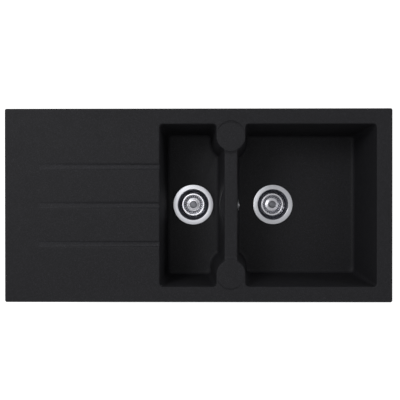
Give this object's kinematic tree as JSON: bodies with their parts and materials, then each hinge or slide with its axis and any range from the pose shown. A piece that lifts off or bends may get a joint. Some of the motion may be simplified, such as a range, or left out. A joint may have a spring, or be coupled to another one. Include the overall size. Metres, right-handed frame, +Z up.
{
  "type": "one and a half bowl kitchen sink",
  "caption": "Inset granite composite sink with a main bowl, a half bowl, a channelled drainer, tap ledges, basket strainer wastes, an overflow and swivelling worktop clips",
  "frame": {"origin": "Centre of the rim's plan, on the plane where the rim rests on the worktop", "axes": "+Z up out of the bowls, +X from the drainer towards the main bowl, +Y towards the long side that is drawn at the top of the plan"},
  "size_m": [1, 0.5, 0.2929],
  "materials": {
    "composite": "matt black granite composite, fine grain",
    "foam": "closed-cell foam strip",
    "brass": "turned brass",
    "clip_steel": "galvanised pressed steel",
    "screw_steel": "zinc-plated or stainless screw and band steel",
    "rubber": "black EPDM",
    "cup_steel": "stainless, turned finish on the flange",
    "basket_steel": "stainless, polished rim",
    "knob_steel": "satin stainless",
    "rose_chrome": "bright chrome",
    "black_plastic": "black polypropylene, satin",
    "hose_plastic": "grey polypropylene hose"
  },
  "bodies": {
    "sink": {"sink_body": "composite", "rim_seal": "foam", "clip_inserts": "brass", "clip_screws": "screw_steel", "main_strainer_cup": "cup_steel", "main_flange_seal": "rubber", "main_body_seal": "rubber", "main_waste_body": "black_plastic", "main_waste_nut": "brass", "main_centre_screw": "screw_steel", "half_strainer_cup": "cup_steel", "half_flange_seal": "rubber", "half_body_seal": "rubber", "half_waste_body": "black_plastic", "half_waste_nut": "brass", "half_centre_screw": "screw_steel", "overflow_rose": "rose_chrome", "overflow_screw": "screw_steel", "overflow_gasket": "rubber", "overflow_housing": "black_plastic", "overflow_hose": "hose_plastic", "hose_clips": "screw_steel"},
    "clip_1": {"clip_1": "clip_steel"},
    "clip_2": {"clip_2": "clip_steel"},
    "clip_3": {"clip_3": "clip_steel"},
    "clip_4": {"clip_4": "clip_steel"},
    "clip_5": {"clip_5": "clip_steel"},
    "clip_6": {"clip_6": "clip_steel"},
    "clip_7": {"clip_7": "clip_steel"},
    "clip_8": {"clip_8": "clip_steel"},
    "main_basket_unit": {"main_basket": "basket_steel", "main_basket_seal": "rubber", "main_basket_knob": "knob_steel", "main_basket_nut": "brass"},
    "half_basket_unit": {"half_basket": "basket_steel", "half_basket_seal": "rubber", "half_basket_knob": "knob_steel", "half_basket_nut": "brass"}
  },
  "joints": [
    {"name": "clip_1_swivel", "type": "hinge", "parent": "sink", "child": "clip_1", "pos_m": [-0.37, 0.228, -0.045], "axis": [0, 0, 1], "range_deg": [0, 90]},
    {"name": "clip_2_swivel", "type": "hinge", "parent": "sink", "child": "clip_2", "pos_m": [-0.01936, 0.228, -0.045], "axis": [0, 0, 1], "range_deg": [0, 90]},
    {"name": "clip_3_swivel", "type": "hinge", "parent": "sink", "child": "clip_3", "pos_m": [0.33076, 0.228, -0.045], "axis": [0, 0, 1], "range_deg": [0, 90]},
    {"name": "clip_4_swivel", "type": "hinge", "parent": "sink", "child": "clip_4", "pos_m": [-0.37, -0.228, -0.045], "axis": [0, 0, -1], "range_deg": [0, 90]},
    {"name": "clip_5_swivel", "type": "hinge", "parent": "sink", "child": "clip_5", "pos_m": [-0.01936, -0.228, -0.045], "axis": [0, 0, -1], "range_deg": [0, 90]},
    {"name": "clip_6_swivel", "type": "hinge", "parent": "sink", "child": "clip_6", "pos_m": [0.33076, -0.228, -0.045], "axis": [0, 0, -1], "range_deg": [0, 90]},
    {"name": "clip_7_swivel", "type": "hinge", "parent": "sink", "child": "clip_7", "pos_m": [-0.478, 0, -0.045], "axis": [0, 0, 1], "range_deg": [0, 90]},
    {"name": "clip_8_swivel", "type": "hinge", "parent": "sink", "child": "clip_8", "pos_m": [0.478, 0, -0.045], "axis": [0, 0, -1], "range_deg": [0, 90]},
    {"name": "main_basket_lift", "type": "slide", "parent": "sink", "child": "main_basket_unit", "axis": [0, 0, 1], "range_m": [0, 0.25]},
    {"name": "half_basket_lift", "type": "slide", "parent": "sink", "child": "half_basket_unit", "axis": [0, 0, 1], "range_m": [0, 0.23]}
  ]
}
